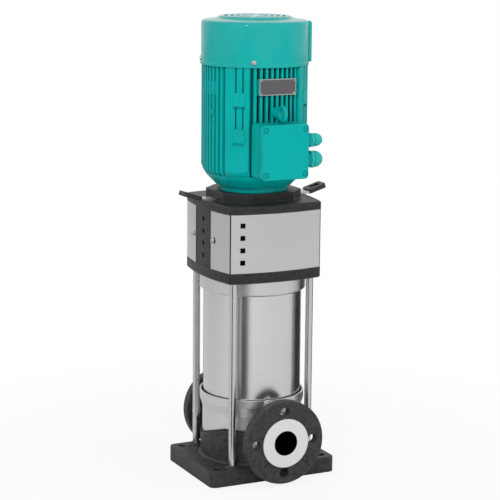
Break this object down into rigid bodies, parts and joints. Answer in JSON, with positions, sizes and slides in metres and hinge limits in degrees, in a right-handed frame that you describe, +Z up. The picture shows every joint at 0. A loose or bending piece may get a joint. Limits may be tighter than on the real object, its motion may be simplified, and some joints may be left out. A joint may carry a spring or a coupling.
{
  "type": "pump",
  "caption": "Upright multistage in-line pump: round flanges on one line, stainless sleeve between four tie rods, grey stool and a finned teal electric motor.",
  "frame": {"origin": "centre of the base plate's underside, on the pump shaft's axis", "axes": "+Z up along the shaft, +Y from the front port to the rear port, +X to the right seen from the front"},
  "size_m": [0.2816, 0.28, 0.819],
  "materials": {
    "cast_grey": "dark grey coated casting",
    "stainless": "satin stainless sheet",
    "bright_steel": "bright drawn steel",
    "black_plastic": "black moulded plastic",
    "rubber": "black sealing rubber",
    "carbon": "dark bearing carbon",
    "coupling_iron": "machined cast coupling",
    "teal_paint": "teal semi-gloss paint",
    "teal_plastic": "teal moulded plastic",
    "core_steel": "laminated core steel",
    "copper": "enamelled copper wire",
    "plate_metal": "bare satin plate"
  },
  "bodies": {
    "pump": {"base_plate": "cast_grey", "foot_casing": "stainless", "drain_plug": "bright_steel", "front_lap_collar": "stainless", "rear_lap_collar": "stainless", "outer_sleeve": "stainless", "sleeve_o_rings": "rubber", "pump_head": "stainless", "stage_casing_1": "stainless", "stage_casing_2": "stainless", "stage_casing_3": "stainless", "stage_casing_4": "stainless", "shaft_bush": "carbon", "seal_cover": "stainless", "seal_seat": "carbon", "tie_rods": "bright_steel", "tie_rod_nuts": "bright_steel", "lantern": "cast_grey", "front_guard": "stainless", "rear_guard": "stainless", "guard_screws": "bright_steel", "right_lifting_strap": "bright_steel", "left_lifting_strap": "bright_steel", "right_strap_grip": "black_plastic", "left_strap_grip": "black_plastic", "strap_screws": "bright_steel", "drive_end_shield": "teal_paint", "motor_flange_bolts": "bright_steel", "motor_frame": "teal_paint", "fan_end_shield": "teal_paint", "stator_core": "core_steel", "windings": "copper", "bearing_outer_rings": "bright_steel", "fan_cowl": "teal_paint", "cowl_screws": "bright_steel", "terminal_box": "teal_paint", "terminal_box_cover": "teal_paint", "cover_screws": "teal_paint", "terminal_board": "black_plastic", "cable_glands": "teal_plastic", "nameplate": "plate_metal", "eye_bolt": "teal_paint"},
    "rotor": {"pump_shaft": "bright_steel", "impeller_1": "stainless", "impeller_2": "stainless", "impeller_3": "stainless", "impeller_4": "stainless", "shaft_spacers": "stainless", "seal_rotor": "bright_steel", "coupling_half_front": "coupling_iron", "coupling_half_rear": "coupling_iron", "coupling_screws": "bright_steel", "motor_shaft": "bright_steel", "rotor_core": "core_steel", "bearing_inner_rings": "bright_steel", "fan": "black_plastic"},
    "front_flange": {"front_loose_flange": "cast_grey", "front_flange_segment": "cast_grey"},
    "rear_flange": {"rear_loose_flange": "cast_grey", "rear_flange_segment": "cast_grey"}
  },
  "joints": [
    {"name": "rotor_spin", "type": "hinge", "parent": "pump", "child": "rotor", "pos_m": [0, 0, 0.3], "axis": [0, 0, 1], "continuous": true},
    {"name": "front_flange_swivel", "type": "hinge", "parent": "pump", "child": "front_flange", "pos_m": [0, -0.128, 0.08], "axis": [0, 1, 0], "continuous": true},
    {"name": "rear_flange_swivel", "type": "hinge", "parent": "pump", "child": "rear_flange", "pos_m": [0, 0.128, 0.08], "axis": [0, 1, 0], "continuous": true}
  ]
}
